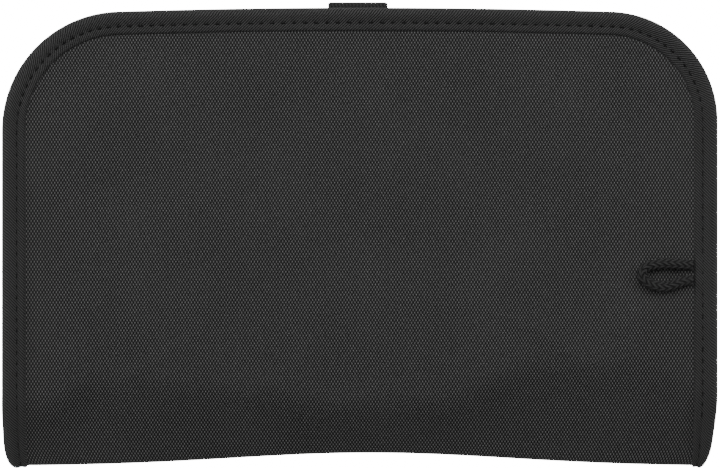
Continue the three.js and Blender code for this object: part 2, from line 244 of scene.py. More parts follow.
def finish(name, dark, light, patterns, roughness=0.8, sheen=0.1, bump=0.0002, broad=0.1, fine=0.15,
           specular=0.2, **fixed):
    """A material whose colour goes from dark to light with its patterns, broad and fine unevenness.

    patterns is a list of (group, {input: value}); their outputs are averaged. fixed are further
    values set directly on the shader, by socket name with _ for a space."""
    material = bpy.data.materials.new(name)
    material.use_nodes = True
    tree = material.node_tree
    shader = tree.nodes["Principled BSDF"]
    shader.inputs["Roughness"].default_value = roughness
    shader.inputs["Sheen Weight"].default_value = sheen
    shader.inputs["Sheen Roughness"].default_value = 0.5
    shader.inputs["Specular IOR Level"].default_value = specular
    for label, value in fixed.items():
        shader.inputs[label.replace("_", " ")].default_value = value
    source = tree.nodes.new("ShaderNodeUVMap")
    source.uv_map = "cloth"

    def placed(group, values):
        node = tree.nodes.new("ShaderNodeGroup")
        node.node_tree = group
        tree.links.new(source.outputs[0], node.inputs["Place"])
        for label, value in values.items():
            node.inputs[label].default_value = value
        return node.outputs

    share = 1 / max(len(patterns), 1)
    lift = 0.5 if not patterns else 0.0
    for group, values in patterns:
        part = joined(placed(group, values)[0], share, tree=tree)
        lift = joined(part, lift, tree=tree, operation="ADD")
    wear = placed(uneven, {})
    rough = joined(joined(wear["Broad"], 0.5, tree=tree, operation="SUBTRACT"), 2 * broad, tree=tree)
    grain = joined(joined(wear["Fine"], 0.5, tree=tree, operation="SUBTRACT"), 2 * fine, tree=tree)
    shade = joined(joined(lift, rough, tree=tree, operation="ADD"), grain, tree=tree, operation="ADD")
    mix = tree.nodes.new("ShaderNodeMix")
    mix.data_type = "RGBA"
    for slot, value in ((6, dark), (7, light)):
        rgb = (value,) * 3 if isinstance(value, float) else value
        mix.inputs[slot].default_value = (*rgb, 1)
    tree.links.new(shade, mix.inputs[0])
    tree.links.new(mix.outputs[2], shader.inputs["Base Color"])
    relief = tree.nodes.new("ShaderNodeBump")
    relief.inputs["Distance"].default_value = bump
    relief.inputs["Strength"].default_value = 1
    tree.links.new(shade, relief.inputs["Height"])
    tree.links.new(relief.outputs[0], shader.inputs["Normal"])
    return material


def braided(points, thickness, rows, columns):
    """Rings of a braided cord on a centreline of points, and each ring point's place on the cord.

    Round the cord the strands lie in columns, slanted one way and the other, so that they make
    arrowheads: a strand's phase is the distance along over the pitch plus a triangle wave of the turn.
    The radius falls in a groove where the phase is whole and where two columns meet. The centreline
    is first eased by a running mean weighted as a bell, over cord_easing steps each way."""
    line = along(points, rows)
    window = np.hanning(2 * cord_easing + 1)
    window = window / window.sum()
    longer = np.pad(line, ((cord_easing, cord_easing), (0, 0)), mode="reflect", reflect_type="odd")
    line = evenly(np.stack([np.convolve(column, window, "valid") for column in longer.T], 1), rows)
    forward = np.gradient(line, axis=0)
    forward /= np.linalg.norm(forward, axis=1)[:, None]
    up = np.array([0, 0, 1.0])
    aside = np.cross(up, forward)
    run = np.linspace(0, cord_length, rows)[:, None]
    turn = np.linspace(0, 2 * np.pi, columns, endpoint=False)[None]
    share = turn * braid_columns / (2 * np.pi)
    slope = np.abs((share / 2 + 0.25) % 1 - 0.5) * 2
    phase = run / braid_pitch + 0.9 * slope
    strand = np.sqrt(np.abs(np.sin(np.pi * phase)))
    seam = np.sqrt(np.abs(np.sin(np.pi * (share + 0.5))))
    radius = thickness / 2 * (1 - braid_depth + braid_depth * np.minimum(strand, 0.35 + 0.65 * seam))
    from_end = np.minimum(run, cord_length - run)
    flat = 1 - (1 - root_flat) * (1 - smooth(from_end / root_length))
    sideways, upwards = radius * np.cos(turn), radius * np.sin(turn) * flat
    rings = (line[:, None] + aside[:, None] * sideways[..., None] + up * upwards[..., None])
    around = np.linspace(0, 2 * np.pi * thickness / 2, columns + 1)[None] + 0 * run
    wrapped = np.concatenate([phase, phase[:, :1]], 1)
    # The place along the cord is shifted by a quarter pitch so that the colour's painted highlight falls on
    # each strand's crown and its painted shade falls in the grooves.
    return line, rings, np.stack([(wrapped - 0.25) * braid_pitch, around], -1)


cord_level = (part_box("cord_loop")[0].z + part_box("cord_loop")[1].z) / 2
ends = np.array([[min(i, len(cord_line) - 1 - i)] for i in range(len(cord_line))])
levels = cord_level - root_drop * (1 - smooth(ends / 2))
cord_middle, cord_rings, cord_uv = braided(np.hstack([cord_line, levels]), cord_thickness, cord_steps,
                                           ring_points)
cord = tube("cord_loop_braid", cord_rings, cord_uv)
# Painted light and shade on the cord: the strand lines, set at the braid's pitch, make the colour light on
# each strand's crown and dark in the grooves between strands, where shade falls.
strand_crown_light_groove_shade, yarn_lines = (ribs, {"Pitch": braid_pitch}), (ribs, {"Pitch": 0.0003, "Slant": 1.2})
braid_black = finish("braided cord", 0.0003, 0.060, [strand_crown_light_groove_shade, strand_crown_light_groove_shade, yarn_lines],
                     roughness=0.6, sheen=0.05, bump=0.00008)
cord.data.materials.append(braid_black)
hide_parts("cord_loop")
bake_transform(cord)

# ---- Floor and light -----------------------------------------------------------------------
# A pale floor under the wallet and soft studio light from above the opening edge.
floor_level = cad_box[0].z - 0.0001
floor_size = 3.0
edge = np.array([[-1, -1], [1, -1], [1, 1], [-1, 1]]) * floor_size
floor = mesh_piece("floor", np.hstack([edge, np.full((4, 1), floor_level)]), [[0, 1, 2, 3]])
paper = bpy.data.materials.new("pale floor")
paper.use_nodes = True
paper_shader = paper.node_tree.nodes["Principled BSDF"]
paper_shader.inputs["Base Color"].default_value = (0.9, 0.9, 0.9, 1)
paper_shader.inputs["Roughness"].default_value = 0.9
paper_shader.inputs["Emission Color"].default_value = (1, 1, 1, 1)
seen = paper.node_tree.nodes.new("ShaderNodeLightPath").outputs["Is Camera Ray"]
paper.node_tree.links.new(joined(joined(seen, 16, tree=paper.node_tree), 0.3, tree=paper.node_tree,
                                 operation="ADD"), paper_shader.inputs["Emission Strength"])
floor.data.materials.append(paper)

world = bpy.data.worlds.new("studio")
bpy.context.scene.world = world
world.use_nodes = True
world.node_tree.nodes["Background"].inputs["Color"].default_value = (1, 1, 1, 1)
world.node_tree.nodes["Background"].inputs["Strength"].default_value = 0.12


def soft_box(name, place, aim, size, power):
    """A rectangular light at a place, facing a point."""
    data = bpy.data.lights.new(name, "AREA")
    data.shape, data.size, data.size_y, data.energy = "RECTANGLE", size[0], size[1], power
    lamp = bpy.data.objects.new(name, data)
    lamp.location = place
    lamp.rotation_mode = "QUATERNION"
    lamp.rotation_quaternion = (Vector(aim) - Vector(place)).to_track_quat("-Z", "Y")
    bpy.context.scene.collection.objects.link(lamp)


soft_box("overhead", (0, 0.45, 1.6), (0, 0, 0), (1.6, 1.0), 10.5)
soft_box("window", (0.1, 1.0, 1.1), (0, 0, 0), (1.0, 0.7), 6)
soft_box("right", (1.3, 0.5, 0.85), (0, 0, 0), (0.35, 0.35), 3.2)
soft_box("left", (-1.4, 0.1, 0.35), (0, 0, 0), (0.5, 0.3), 4)
soft_box("front", (-0.3, -1.2, 0.9), (0, 0, 0), (0.8, 0.8), 1)

# ---- Outer fabric --------------------------------------------------------------------------
# One cloth of coated plain weave covers the back, the soft spine and the front. Padding stops at the
# creases, so the cloth falls from there to the fold; it is made in three lengths, joined on the spine.
cloth_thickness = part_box("back_cover")[1].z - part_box("back_cover")[0].z
joint_at = {joint["name"]: joint.get("pos_m") for joint in frame["joints"]}
half_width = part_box("back_binding")[1].x
open_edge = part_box("back_binding")[1].y
front_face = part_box("front_cover")[0].z
fold_level = joint_at["fold"][2]
crease = joint_at["crease_back"][1]
fold_drop = plain_back - fold_level
corner_left, corner_right, edge_bow, cloth_inset = 0.038, 0.0350, 0.0012, 0.003
fold_base, fold_bow, fold_bow_reach, fold_bow_middle = -0.0744, 0.0042, 0.044, 0.0033
fold_radius, crease_softness, fold_corner = 0.0020, 0.0085, 0.003
end_round_from, end_round_length, end_round_depth = -0.0665, 0.0092, 0.0040
seam_y = -0.0625
crease_row, arc_rows = 109, 8  # the grid's first row on the crease, and the rows of each arc
tuck_left, tuck_right = 0.0003, 0.0022
crease_line = np.array([
    (-0.114, -0.0520), (-0.097, -0.0510), (-0.086, -0.0420), (-0.076, -0.0445), (-0.046, -0.0455),
    (-0.025, -0.0480), (-0.006, -0.0525), (0.006, -0.0500), (0.024, -0.0515), (0.038, -0.0465),
    (0.047, -0.0400), (0.059, -0.0370), (0.074, -0.0385), (0.086, -0.0360), (0.100, -0.0420),
    (0.114, -0.0500),
])


def top_of(x, inset):
    """Y of the cover's outline, drawn in by `inset`: round corners, and a top that bows as a parabola."""
    corner = np.where(np.asarray(x) > 0, corner_right, corner_left)
    flat, radius = half_width - corner, corner - inset
    beyond = np.clip(np.abs(x) - flat, 0, radius)
    bow = edge_bow * (1 - np.clip(np.abs(x) / flat, 0, 1) ** 2)
    return open_edge - edge_bow - corner + np.sqrt(radius ** 2 - beyond ** 2) + bow


def fold_y(x):
    """Y of the fold: straight, bowed inwards in a bell round its middle, and rounded at its ends."""
    bell = fold_bow * np.exp(-((x - fold_bow_middle) / fold_bow_reach) ** 2 / 2)
    past = np.clip(np.abs(x) - half_width + fold_corner, 0, fold_corner)
    return fold_base + bell + fold_corner - np.sqrt(fold_corner ** 2 - past ** 2)


def tucked(points):
    """The points drawn in at the sides as they near the fold, more on the right than on the left."""
    near = smooth((-0.050 - points[..., 1]) / 0.030)
    past = np.clip((end_round_from - points[..., 1]) / end_round_length, 0, 1)
    rounded_off = end_round_depth * (1 - np.sqrt(1 - past ** 2))
    x = points[..., 0]
    drawn_in = near * np.where(x > 0, tuck_right, tuck_left) + rounded_off
    moved = points.copy()
    moved[..., 0] = x - np.sign(x) * drawn_in * np.abs(x / half_width) ** 3
    return moved


def section(x, top, crease_at, back):
    """The cloth's outer face over the columns x, from the opening edge down to the fold.

    Down each column: flat to the crease, an arc over the crease, a straight slope, and an arc round
    the fold to its apex. The slope's angle is solved so that the drop is the fold's depth. Gives
    points, normals, the distance run along the cloth, and the row that lies at the seam."""
    apex = fold_y(x)
    reach = crease_at - apex
    angle = np.full_like(x, 0.4)
    for _ in range(12):
        bend = crease_softness / angle
        fall = fold_drop - fold_radius * np.cos(angle) - bend * (1 - np.cos(angle))
        angle = np.arctan2(fall, reach - fold_radius * (1 - np.sin(angle)) - bend * np.sin(angle))
    bend = crease_softness / angle
    slope_start = crease_at - bend * np.sin(angle)
    slope_end = apex + fold_radius * (1 - np.sin(angle))
    start_drop = bend * (1 - np.cos(angle))
    rows = []
    for t in np.linspace(0, 1, crease_row + 1)[:-1]:
        y = top + (crease_at - top) * t
        rows.append((y, 0 * x, 0 * x, -y))
    for t in np.linspace(0, 1, arc_rows + 1)[:-1]:
        a = angle * t
        rows.append((crease_at - bend * np.sin(a), bend * (1 - np.cos(a)), a, bend * a - crease_at))
    for y0, y1, count in ((slope_start, seam_y, 14), (seam_y, slope_end, 12)):
        for t in np.linspace(0, 1, count)[:-1]:
            y = y0 + (y1 - y0) * t
            run = (slope_start - y) / np.cos(angle)
            rows.append((y, start_drop + run * np.sin(angle), angle, crease_softness - crease_at + run))
        if y1 is seam_y:
            seam_row = len(rows)
    length = crease_softness - crease_at + (slope_start - slope_end) / np.cos(angle)
    for t in np.linspace(0, 1, arc_rows + 1):
        a = angle + (math.pi / 2 - angle) * t
        y = apex + fold_radius * (1 - np.sin(a))
        rows.append((y, fold_drop - fold_radius * np.cos(a), a, length + fold_radius * (a - angle)))
    y, drop, a, run = (np.array(part) for part in zip(*rows))
    up = 1 if back else -1
    points = np.stack([np.broadcast_to(x, y.shape), y, fold_level + up * (fold_drop - drop)], -1)
    normals = np.stack([0 * y, -np.sin(a), up * np.cos(a)], -1)
    return points, normals, run, seam_row


def dented(points):
    """How far handling has pushed the back's flat face in or out: soft ridges, each a bell."""

    def bell(sideways, lengthways, wide, long):
        return np.exp(-(sideways / wide) ** 2 - (lengthways / long) ** 2)

    x, y = points[..., 0], points[..., 1]
    middle_line = -0.00016 * bell(x - 0.0017, y + 0.010, 0.0022, 0.026)
    left_ridge = 0.00022 * bell(y + 0.037 - 0.6 * (x + 0.060), x + 0.066, 0.003, 0.014)
    right_ridge = 0.00022 * bell(y + 0.034 + 0.5 * (x - 0.062), x - 0.060, 0.003, 0.014)
    far_ridge = 0.00018 * bell(y + 0.026 - 0.4 * (x - 0.090), x - 0.092, 0.004, 0.012)
    waves = 0.00010 * np.sin(x / 0.017 + 1.3) * np.sin(y / 0.021 + 0.4)
    return middle_line + left_ridge + right_ridge + far_ridge + waves


def two_faced(name, outer, inner, uv):
    """A closed sheet between two grids of points: both faces, and a wall round their edge."""
    rows, columns = outer.shape[:2]
    face = grid_faces(rows, columns)
    under = face[:, ::-1] + rows * columns
    number = np.arange(rows * columns).reshape(rows, columns)
    rim = np.concatenate([number[0], number[1:, -1], number[-1, -2::-1], number[-2:0:-1, 0]])
    after = np.roll(rim, -1)
    wall = np.stack([after, rim, rim + rows * columns, after + rows * columns], 1)
    faces = np.vstack([face, under, wall])[:, ::-1]
    place = np.concatenate([uv.reshape(-1, 2)] * 2)[faces].reshape(-1, 2)
    piece = mesh_piece(name, np.vstack([outer.reshape(-1, 3), inner.reshape(-1, 3)]), faces, place)
    group = np.zeros(2 * rows * columns, int)
    group[rim], group[rim + rows * columns] = 1, 2
    crisp(piece, group)
    return piece


across = np.linspace(-1, 1, 230)
across = np.sign(across) * (1 - (1 - np.abs(across)) ** 1.15)


def whole_section(inset):
    """Back and front sections over columns that end `inset` inside the sides, back rows first."""
    x = across * (half_width - inset)
    wavy = np.interp(x, *crease_line.T)
    wavy = np.convolve(np.pad(wavy, 6, "edge"), np.hanning(15)[1:-1] / np.hanning(15).sum(), "valid")
    back = section(x, top_of(x, inset), wavy, back=True)
    front = section(x, top_of(x, inset), np.full_like(x, crease), back=False)
    return back, front


def three_lengths(back, front, outer_depth, inner_depth):
    """Front, fold and back lengths of a layer, each as outer points, inner points and cloth places.

    Depths are per point, inwards from the outer fabric's face. The fold's length runs over the back's
    rows below the seam and then up the front's; a front length is turned so that it faces out."""
    lengths = []
    for points, normals, run, seam_row in (back, front):
        outer = tucked(points) - normals * outer_depth(points)[..., None]
        inner = tucked(points) - normals * inner_depth(points)[..., None]
        place = np.stack([points[..., 0], -run], -1)
        lengths.append((outer, inner, place, seam_row))
    (bo, bi, bp, bs), (fo, fi, fp, fs) = lengths
    round_the_fold = 2 * bp[-1:, :, 1] - fp[fs:-1][::-1, :, 1]
    turned = np.stack([fp[fs:-1][::-1, :, 0], round_the_fold], -1)
    fold = (np.concatenate([bo[bs:], fo[fs:-1][::-1]]), np.concatenate([bi[bs:], fi[fs:-1][::-1]]),
            np.concatenate([bp[bs:], turned]))
    front_place = np.stack([fp[:fs + 1, :, 0], 2 * bp[-1, :, 1] - fp[:fs + 1, :, 1]], -1)
    return ((fo[:fs + 1][::-1], fi[:fs + 1][::-1], front_place[::-1]), fold,
            (bo[:bs + 1], bi[:bs + 1], bp[:bs + 1]))


def bend_with(piece):
    """Bakes a piece's placement into its mesh; it is not tied to the front, the fold or the back."""
    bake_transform(piece)


# Painted light and shade on the outer fabric: the yarn crossings are real, but the bright dots on the
# crowns are a painted highlight and the near-black between them is painted shade.
weave_black_painted_crown_light = finish("coated plain weave", 0.0003, 0.215,
                    [(weave, {"Across": 0.0005, "Along": 0.00081, "Sharpness": 2.9})],
                    roughness=0.60, sheen=0.02, bump=0.00016, broad=0.04, fine=0.10)
outer_back, outer_front = whole_section(cloth_inset)
back_points = outer_back[0]
away = smooth((back_points[..., 1] - seam_y) / 0.02)
back_points[..., 2] += dented(back_points) * away


def cloth_top(points):
    """Depth of the outer fabric's own face."""
    return np.zeros(points.shape[:2])


def cloth_bottom(points):
    """Depth of the outer fabric's hidden face."""
    return np.full(points.shape[:2], cloth_thickness)


parts = three_lengths(outer_back, outer_front, cloth_top, cloth_bottom)
stands_for = {"front": ["front_cover"], "fold": ["spine_cover_lower", "spine_cover_upper"],
              "back": ["back_cover"]}
for part, (outer, inner, place) in zip(("front", "fold", "back"), parts):
    cloth = two_faced(f"outer_fabric_{part}", outer, inner, place)
    cloth.data.materials.append(weave_black_painted_crown_light)
    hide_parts(*stands_for[part])
    bend_with(cloth)

# ---- Padding -------------------------------------------------------------------------------
# A sheet of grey closed-cell foam lies between the fabric and the lining of each cover, up to the crease.
foam_gap = 0.0001
thinnest_foam = 0.12  # of its full thickness, where it tapers into the crease
foam_grey = finish("foam", 0.10, 0.16, [], roughness=0.9, bump=0.0001, fine=0.3)


def pad(name, section_of, cad):
    """A closed sheet from just under the fabric to the foam's inner face, thinning into the crease."""
    points, normals, run, seam_row = section_of
    last = crease_row + arc_rows // 2
    points, run = tucked(points)[:last], run[:last]
    normals = normals[:last]
    full = cad[1].z - cad[0].z
    thinning = smooth((points[..., 1] - crease_at_back(points) + 0.003) / 0.008)
    outer = points - normals * (cloth_thickness + foam_gap)
    inner = outer - normals * (full * (thinnest_foam + (1 - thinnest_foam) * thinning))[..., None]
    rows = slice(None, None, 1 if normals[0, 0, 2] > 0 else -1)
    return two_faced(name, outer[rows], inner[rows], np.stack([points[..., 0], -run], -1)[rows])


def crease_at_back(points):
    """Y of the crease in each of the points' columns, which is where the flat rows end."""
    return np.broadcast_to(points[crease_row, :, 1], points.shape[:2])


for name, section_of, node, body in (("front_padding", outer_front, "front_foam", "front_panel"),
                                     ("back_padding", outer_back, "back_foam", "back_panel")):
    foam = pad(name, section_of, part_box(node))
    foam.data.materials.append(foam_grey)
    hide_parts(node)
    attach(foam, body)

# ---- Lining --------------------------------------------------------------------------------
# Thin plain-woven lining faces the inside of both covers and the spine, in the same three lengths.
lining_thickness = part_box("back_lining")[1].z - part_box("back_lining")[0].z
lining_depth = plain_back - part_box("back_lining")[1].z
spine_lining_depth = cloth_thickness + foam_gap
lining_grey = finish("lining", 0.020, 0.070, [(weave, {"Across": 0.00022, "Along": 0.00022})],
                     roughness=0.7, bump=0.00002, broad=0.08, fine=0.2)


def lining_top(points):
    """Depth of the lining's upper face: under the foam on a cover, and right under the fabric beyond."""
    over_foam = smooth((points[..., 1] - crease_at_back(points) + 0.004) / 0.009)
    return spine_lining_depth + (lining_depth - spine_lining_depth) * over_foam


def lining_bottom(points):
    """Depth of the lining's lower face."""
    return lining_top(points) + lining_thickness


parts = three_lengths(outer_back, outer_front, lining_top, lining_bottom)
stands_for = {"front": ["front_lining"], "fold": ["spine_lining_lower", "spine_lining_upper"],
              "back": ["back_lining"]}
for part, (outer, inner, place) in zip(("front", "fold", "back"), parts):
    lining = two_faced(f"lining_{part}", outer, inner, place)
    lining.data.materials.append(lining_grey)
    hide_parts(*stands_for[part])
    bend_with(lining)

# ---- Binding -------------------------------------------------------------------------------
# Twill tape folded round the whole edge and sewn through with one line of stitches, which draws the
# tape in so that it puffs up on both sides of the line. It runs round the ends of the fold too.
tape_width, tape_proud, tape_step = 0.0076, 0.0009, 0.00058
stitch_inset, stitch_pitch, stitch_length, thread_radius = 0.0049, 0.0035, 0.0017, 0.00028
edge_zone = 0.0022  # the first part of the tape, where the section's points lie closer
roll_width, spine_stack = 0.0026, cloth_thickness + foam_gap + lining_thickness
cover_stack = lining_depth + lining_thickness
twill = {"Pitch": 0.00095, "Slant": -1.0}
tape_black = finish("binding tape", 0.0005, 0.080, [(ribs, twill)],
                    roughness=0.7, sheen=0.05, bump=0.00014, broad=0.08, fine=0.45)
thread_black = finish("thread", 0.0006, 0.003, [(ribs, {"Pitch": 0.0003, "Slant": 0.7})],
                      roughness=0.6, bump=0.00003)


def edge_path(side_of, back):
    """One cover's edge: up the right side from the seam, round the top and down the left side.

    Columns: place (3), the cloth's normal (3), the way out of the edge (3) and the layers' thickness."""
    points, normals, run, seam_row = side_of
    rows = slice(crease_row, seam_row + 1)
    sides = []
    for column, x in ((-1, half_width), (0, -half_width)):
        place = points[rows, column].copy()
        place[:, 0] = x
        over_foam = smooth((place[:, 1:2] - crease + 0.004) / 0.009)
        stack = spine_stack + (cover_stack - spine_stack) * over_foam
        out = np.tile([np.sign(x), 0, 0], (len(place), 1))
        sides.append(np.hstack([tucked(place), normals[rows, column], out, stack]))
    turn = np.linspace(0, np.pi / 2, 60)
    corners = []
    for corner, x_way in ((corner_right, 1), (corner_left, -1)):
        corners.append(np.stack([x_way * (half_width - corner + corner * np.cos(turn)),
                                 open_edge - edge_bow - corner + corner * np.sin(turn)], 1))
    x = np.linspace(half_width - corner_right, corner_left - half_width, 120)[1:-1]
    top = np.stack([x, top_of(x, 0)], 1)
    plan = np.vstack([corners[0], top, corners[1][::-1]])
    way = np.gradient(plan, axis=0)
    out = np.stack([way[:, 1], -way[:, 0]], 1) / np.linalg.norm(way, axis=1)[:, None]
    level = plain_back if back else front_face
    n = len(plan)
    top_part = np.hstack([plan, np.full((n, 1), level), np.tile([0, 0, 1 if back else -1], (n, 1)),
                          out, np.zeros((n, 1)), np.full((n, 1), cover_stack)])
    return np.vstack([sides[0][::-1], top_part, sides[1]])


def fold_path(column, x):
    """The edge round one end of the fold, from the back's seam to the front's, as edge_path gives it."""
    pieces = []
    for points, normals, run, seam_row in (outer_back, outer_front):
        place = points[seam_row:, column].copy()
        place[:, 0] = x
        out = np.tile([np.sign(x), 0, 0], (len(place), 1))
        stack = np.full((len(place), 1), spine_stack)
        pieces.append(np.hstack([tucked(place), normals[seam_row:, column], out, stack]))
    return np.vstack([pieces[0], pieces[1][:-1][::-1]])


def tape_height(inwards, run):
    """How far the tape stands off the layers, over the distance in from the edge and along it.

    Two soft swells with a groove at the stitches between them, a tight roll at the free inner edge;
    between two holes the swells rise a little, and at each hole the groove is deeper."""
    beat = np.cos(2 * np.pi * run / stitch_pitch)
    outer_swell = np.exp(-((inwards - 0.0028) / 0.0015) ** 2)
    inner_swell = np.exp(-((inwards - 0.0064) / 0.0008) ** 2)
    base = 0.55 * tape_proud
    swells = (outer_swell * 0.34 + inner_swell * 0.16 * (1 - 0.6 * beat)) * tape_proud
    hole = np.exp(-((inwards - stitch_inset) / 0.0005) ** 2) * np.clip(-beat, 0, 1) ** 0.7
    groove = np.exp(-((inwards - stitch_inset) / 0.0007) ** 2)
    free_edge = smooth((tape_width - inwards) / 0.0005)
    height = (base + swells - 0.12 * tape_proud * groove - 0.5 * tape_proud * hole) * free_edge
    return height + 0.00004


def swept_tape(name, path, squeeze=None, bulge=None):
    """The tape's closed section carried along an edge, and its seam of stitches on both faces.

    The section runs in along the outer face, from the roll to the free edge, back under the tape on
    the layers, round the edge and out on the other face. squeeze makes the inner face's tape flatter
    along a tight fold; bulge raises the outer face over what is sewn in."""
    reach = np.linalg.norm(np.diff(path[:, :3], axis=0), axis=1).sum()
    count = int(reach / tape_step)
    path = evenly(path, count)
    run = np.linspace(0, reach, count)[:, None]
    place, normal, out, stack = path[:, None, :3], path[:, None, 3:6], path[:, None, 6:9], path[:, 9:]
    normal = normal / np.linalg.norm(normal, axis=2)[..., None]
    out = out / np.linalg.norm(out, axis=2)[..., None]
    flat = 1 - (0 if squeeze is None else squeeze(run / reach))
    inwards = np.concatenate([np.linspace(0, 1, 10)[:-1] ** 2 * edge_zone,
                              np.linspace(edge_zone, tape_width, 21)])[None]
    rise = tape_height(inwards, run)
    extra = 0 if bulge is None else bulge(place, inwards[..., None], normal)[..., 0]
    roll = np.sqrt(np.clip(1 - (1 - np.minimum(inwards / roll_width, 1)) ** 2, 0, 1))
    upper = (stack / 2 + rise + extra) * roll
    lower = -(stack / 2 + rise * flat) * roll
    inside = np.linspace(tape_width, 0.0009, 5)[None] + 0 * run
    under_top, under_low = stack / 2 + 0 * inside, -stack / 2 + 0 * inside
    in_far = np.concatenate([inwards + 0 * run, inside, inside[:, ::-1], (inwards + 0 * run)[:, :0:-1]], 1)
    high = np.concatenate([upper, under_top, under_low, lower[:, :0:-1]], 1)
    middle = place - normal * stack[..., None] / 2
    at_side = (np.abs(out[..., 0]) > 0.999) & (place[..., 1] < crease)
    narrow = np.where(at_side, 1 - (half_width - np.abs(place[..., 0])) / tape_width, 1)
    in_far = in_far * narrow
    rings = middle - out * in_far[..., None] + normal * high[..., None]
    columns = in_far.shape[1]
    round_it = np.linspace(0, 2 * (tape_width + 0.002), columns + 1)[None, ::-1] + 0 * run
    tape = tube(name, rings[:, ::-1], np.stack([run + 0 * round_it, round_it], -1))
    tape.data.materials.append(tape_black)
    holes = np.arange(stitch_pitch, reach - stitch_pitch, stitch_pitch)
    at_hole = np.array([np.interp((holes[:-1] + holes[1:]) / 2, run[:, 0], c) for c in path.T]).T
    length = np.full(len(at_hole), stitch_length)
    faces_of = []
    for way in (1, -1):
        level = (at_hole[:, 9:] / 2 + 0.30 * tape_proud)
        centre = at_hole[:, :3] - at_hole[:, 3:6] * (at_hole[:, 9:] / 2 - way * level)
        slim = np.where((np.abs(at_hole[:, 6:7]) > 0.999) & (at_hole[:, 1:2] < crease),
                        1 - (half_width - np.abs(at_hole[:, :1])) / tape_width, 1)
        faces_of.append(centre - at_hole[:, 6:9] * stitch_inset * slim)
    ahead = np.cross(at_hole[:, 6:9], at_hole[:, 3:6])
    seam = stitches(name.replace("binding", "stitching"), np.vstack(faces_of), np.vstack([ahead] * 2),
                    np.concatenate([length] * 2), thread_radius)
    seam.data.materials.append(thread_black)
    return tape, seam


def stitches(name, centres, ways, lengths, radius):
    """Small rounded rods at centres (n, 3), lying along ways (n, 3): thread between two holes each."""
    ways = ways / np.linalg.norm(ways, axis=1)[:, None]
    helper = np.where(np.abs(ways[:, 2:]) < 0.9, [[0, 0, 1.0]], [[1.0, 0, 0]])
    first = np.cross(ways, helper)
    first /= np.linalg.norm(first, axis=1)[:, None]
    second = np.cross(ways, first)
    turn = np.linspace(0, 2 * np.pi, 6, endpoint=False)
    rings = np.array([(-0.5, 0.15), (-0.42, 0.8), (-0.2, 1.0), (0.2, 1.0), (0.42, 0.8), (0.5, 0.15)])
    around = first[:, None] * np.cos(turn)[None, :, None] + second[:, None] * np.sin(turn)[None, :, None]
    corners = (centres[:, None, None] + ways[:, None, None] * rings[None, :, :1, None]
               * lengths[:, None, None, None] + around[:, None] * rings[None, :, 1:, None] * radius)
    n, rows, columns = corners.shape[:3]
    sides = grid_faces(rows, columns, ring=True)
    base = (np.arange(n) * rows * columns)[:, None, None]
    quads = (sides[None] + base).reshape(-1, 4)
    caps = np.stack([np.arange(columns)[::-1], np.arange(columns) + (rows - 1) * columns])
    caps = (caps[None] + base).reshape(-1, columns)
    faces = [*quads.tolist(), *caps.tolist()]
    place = np.stack([np.tile(np.linspace(0, 1, rows)[:, None] * 0.0027, (n, 1, columns)).ravel(),
                      np.tile(np.linspace(0, 0.0015, columns), n * rows)], 1)
    corner_uv = np.vstack([place[quads].reshape(-1, 2), place[caps].reshape(-1, 2)])
    return mesh_piece(name, corners, faces, corner_uv)


def over_cord_ends(place, inwards, normal):
    """The tape rides up over the two ends of the cord: a bell across each, rising to the free edge."""
    rise = 0
    for x, y in (cord_line[0], cord_line[-1]):
        rise = rise + np.exp(-((place[..., 1:2] - y) / 0.0021) ** 2)
    near = (place[..., :1] > 0) & (normal[..., 2:] > 0.9)
    return 0.0011 * np.minimum(rise, 1) * smooth((inwards - 0.003) / 0.004) * near


def tight(t):
    """How much flatter the hidden side is at a share t of the way round the fold: a bell at the middle."""
    return 0.55 * np.exp(-((t - 0.5) / 0.12) ** 2)


bindings = [
    ("binding_back", edge_path(outer_back, True), None, over_cord_ends, "back", ["back_binding"]),
    ("binding_front", edge_path(outer_front, False)[::-1], None, None, "front", ["front_binding"]),
    ("binding_fold_right", fold_path(-1, half_width)[::-1], tight, None, "fold",
     ["spine_binding_right_lower", "spine_binding_right_upper"]),
    ("binding_fold_left", fold_path(0, -half_width), tight, None, "fold",
     ["spine_binding_left_lower", "spine_binding_left_upper"]),
]
for name, path, squeeze, bulge, part, nodes in bindings:
    tape, seam = swept_tape(name, path, squeeze, bulge)
    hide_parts(*nodes)
    for piece in (tape, seam):
        bend_with(piece)

# ---- Closing strap -------------------------------------------------------------------------
# Ribbed webbing sewn under the back's lining side, taken round the open edge and under the front. It
# is made in two lengths that meet half way down the edge, and bends at its two corners.
sewn, riser, tail_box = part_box("strap_sewn_end"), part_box("strap_riser"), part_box("strap_tail")
webbing_thickness = tail_box[1].z - tail_box[0].z
strap_left, strap_right = tail_box[0].x, tail_box[1].x
bend_radius, strap_edge = 0.0011, 0.0004
webbing_black = finish("webbing", 0.001, 0.056, [(ribs, {"Pitch": 0.0011, "Slant": 0.25}),
                                                 (weave, {"Across": 0.0006, "Along": 0.0004})],
                       roughness=0.75, sheen=0.15, bump=0.00010, broad=0.08, fine=0.25)


